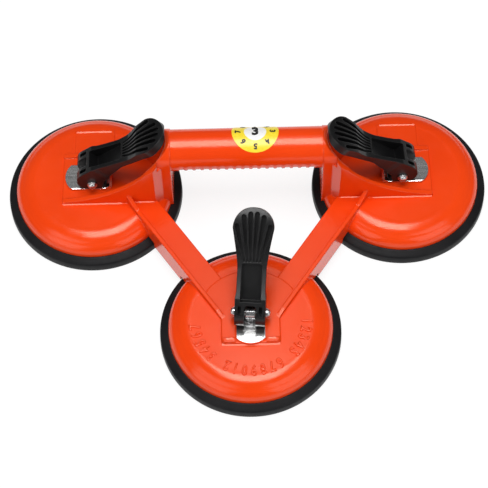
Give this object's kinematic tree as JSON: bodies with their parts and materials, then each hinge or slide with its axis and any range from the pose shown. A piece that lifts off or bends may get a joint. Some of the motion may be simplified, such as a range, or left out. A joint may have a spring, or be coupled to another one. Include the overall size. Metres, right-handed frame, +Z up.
{
  "type": "floor tile suction lifter",
  "caption": "Suction lifter for floor tiles: orange-red casting with a round grip, black rubber pads and black cam levers.",
  "frame": {"origin": "on the ground, at the middle of the outline's length and width", "axes": "+X along the grip to the right, +Y from the front cup towards the grip, +Z up"},
  "size_m": [0.33, 0.23, 0.0786],
  "materials": {
    "painted_casting": "gloss",
    "rubber": "matte",
    "black_plastic": "satin",
    "polished_steel": "polished",
    "plain_steel": "satin",
    "label": "satin"
  },
  "bodies": {
    "frame": {"lifter_casting": "painted_casting", "grip_label": "label", "wear_plate_left": "polished_steel", "rubber_pad_left": "rubber", "wear_plate_right": "polished_steel", "rubber_pad_right": "rubber", "wear_plate_front": "polished_steel", "rubber_pad_front": "rubber"},
    "stud_left": {"pull_stud_left": "polished_steel", "pad_core_left": "plain_steel", "pivot_pin_left": "polished_steel", "pin_washers_left": "polished_steel"},
    "lever_body_left": {"lever_left": "black_plastic"},
    "stud_right": {"pull_stud_right": "polished_steel", "pad_core_right": "plain_steel", "pivot_pin_right": "polished_steel", "pin_washers_right": "polished_steel"},
    "lever_body_right": {"lever_right": "black_plastic"},
    "stud_front": {"pull_stud_front": "polished_steel", "pad_core_front": "plain_steel", "pivot_pin_front": "polished_steel", "pin_washers_front": "polished_steel"},
    "lever_body_front": {"lever_front": "black_plastic"}
  },
  "joints": [
    {"name": "left_stud_lift", "type": "slide", "parent": "frame", "child": "stud_left", "axis": [0, 0, 1], "range_m": [0, 0.0068]},
    {"name": "left_lever_hinge", "type": "hinge", "parent": "stud_left", "child": "lever_body_left", "pos_m": [-0.105, 0.055, 0.03098], "axis": [0.0087, -1, 0], "range_deg": [0, 141.3]},
    {"name": "right_stud_lift", "type": "slide", "parent": "frame", "child": "stud_right", "axis": [0, 0, 1], "range_m": [0, 0.0068]},
    {"name": "right_lever_hinge", "type": "hinge", "parent": "stud_right", "child": "lever_body_right", "pos_m": [0.105, 0.055, 0.03098], "axis": [-0.0436, 0.999, 0], "range_deg": [0, 141.3]},
    {"name": "front_stud_lift", "type": "slide", "parent": "frame", "child": "stud_front", "axis": [0, 0, 1], "range_m": [0, 0.0068]},
    {"name": "front_lever_hinge", "type": "hinge", "parent": "stud_front", "child": "lever_body_front", "pos_m": [0, -0.055, 0.03098], "axis": [0.9966, -0.0819, 0], "range_deg": [0, 141.3]}
  ],
  "couplings": [
    {"joint": "left_lever_hinge", "follows": "left_stud_lift", "rad_per_m": 362.66},
    {"joint": "right_lever_hinge", "follows": "right_stud_lift", "rad_per_m": 362.66},
    {"joint": "front_lever_hinge", "follows": "front_stud_lift", "rad_per_m": 362.66}
  ]
}
